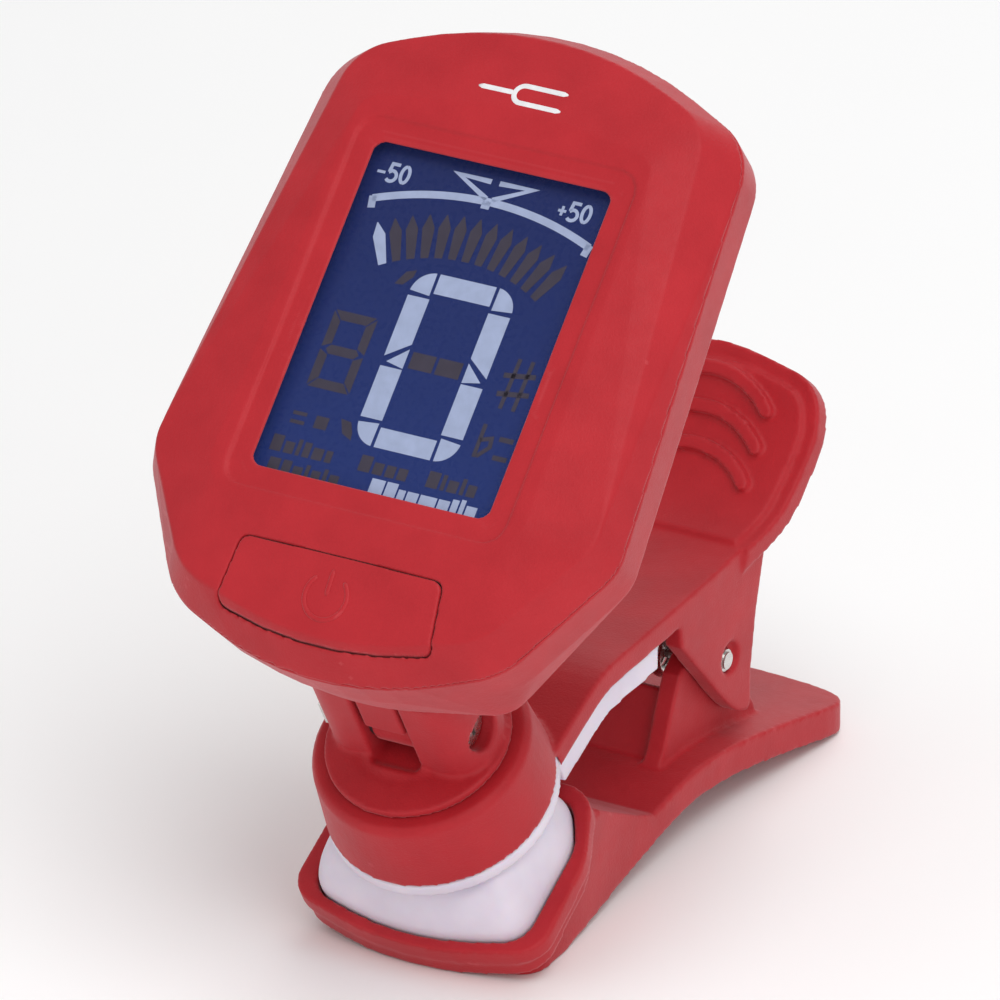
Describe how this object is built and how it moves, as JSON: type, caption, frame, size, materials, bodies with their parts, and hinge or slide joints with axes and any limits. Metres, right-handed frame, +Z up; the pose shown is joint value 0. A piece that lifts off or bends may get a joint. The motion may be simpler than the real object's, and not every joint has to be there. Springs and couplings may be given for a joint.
{
  "type": "clip-on instrument tuner",
  "caption": "Spring clip with soft pads carrying a swivelling turret and a tilting display head with a power button and a sliding battery door.",
  "frame": {"origin": "centre of the grip: where the swivel axis meets the plane in which the two pads touch", "axes": "+X across the clip to its right seen from the front, +Y to the rear of the clip along the surface it stands on, +Z up"},
  "size_m": [0.04, 0.0679, 0.0682],
  "materials": {
    "shell_plastic": "fine spark-eroded texture",
    "pad_silicone": "satin silicone",
    "steel": "nickel plated",
    "cell_steel": "bright",
    "dark_plastic": "matte",
    "dark_rubber": "matte",
    "light_guide": "milky",
    "lens": "clear",
    "lcd_glass": "polarised",
    "board_laminate": "solder mask",
    "component_metal": "tinned",
    "sensor_brass": "bright"
  },
  "bodies": {
    "lower_clip": {"lower_arm": "shell_plastic", "lower_pad": "pad_silicone", "hinge_pin": "steel", "torsion_spring": "steel"},
    "upper_clip": {"upper_arm": "shell_plastic", "upper_pad": "pad_silicone"},
    "turret": {"swivel_turret": "shell_plastic", "swivel_screw": "steel", "swivel_washer": "steel", "tilt_screw": "steel", "tilt_nut": "steel", "friction_washers": "dark_plastic"},
    "head": {"front_shell": "shell_plastic", "back_shell": "shell_plastic", "shell_screws": "steel", "display_lens": "lens", "lcd_panel": "lcd_glass", "backlight_panel": "light_guide", "lcd_connector": "dark_rubber", "circuit_board": "board_laminate", "controller_chip": "dark_plastic", "board_components": "component_metal", "tact_switch": "dark_plastic", "battery_contact_positive": "steel", "battery_contact_negative": "steel", "coin_cell": "cell_steel", "vibration_sensor": "sensor_brass", "sensor_wires": "dark_rubber"},
    "button": {"power_button": "shell_plastic", "switch_plunger": "light_guide"},
    "door": {"battery_door": "shell_plastic"}
  },
  "joints": [
    {"name": "jaw_hinge", "type": "hinge", "parent": "lower_clip", "child": "upper_clip", "pos_m": [0, 0.0311, 0.00035], "axis": [-1, 0, 0], "range_deg": [0, 32], "stiffness_Nm_per_rad": 0.12, "springref_deg": -34.38, "deforming": ["torsion_spring"]},
    {"name": "head_swivel", "type": "hinge", "parent": "upper_clip", "child": "turret", "pos_m": [0, 0, 0], "axis": [0, -0.5, 0.866], "continuous": true},
    {"name": "head_tilt", "type": "hinge", "parent": "turret", "child": "head", "pos_m": [0, -0.00564, 0.00978], "axis": [1, 0, 0], "range_deg": [-15, 65]},
    {"name": "button_press", "type": "slide", "parent": "head", "child": "button", "axis": [0, 0.7108, -0.7034], "range_m": [0, 0.0004]},
    {"name": "door_slide", "type": "slide", "parent": "head", "child": "door", "axis": [0, 0.7034, 0.7108], "range_m": [0, 0.034]}
  ]
}
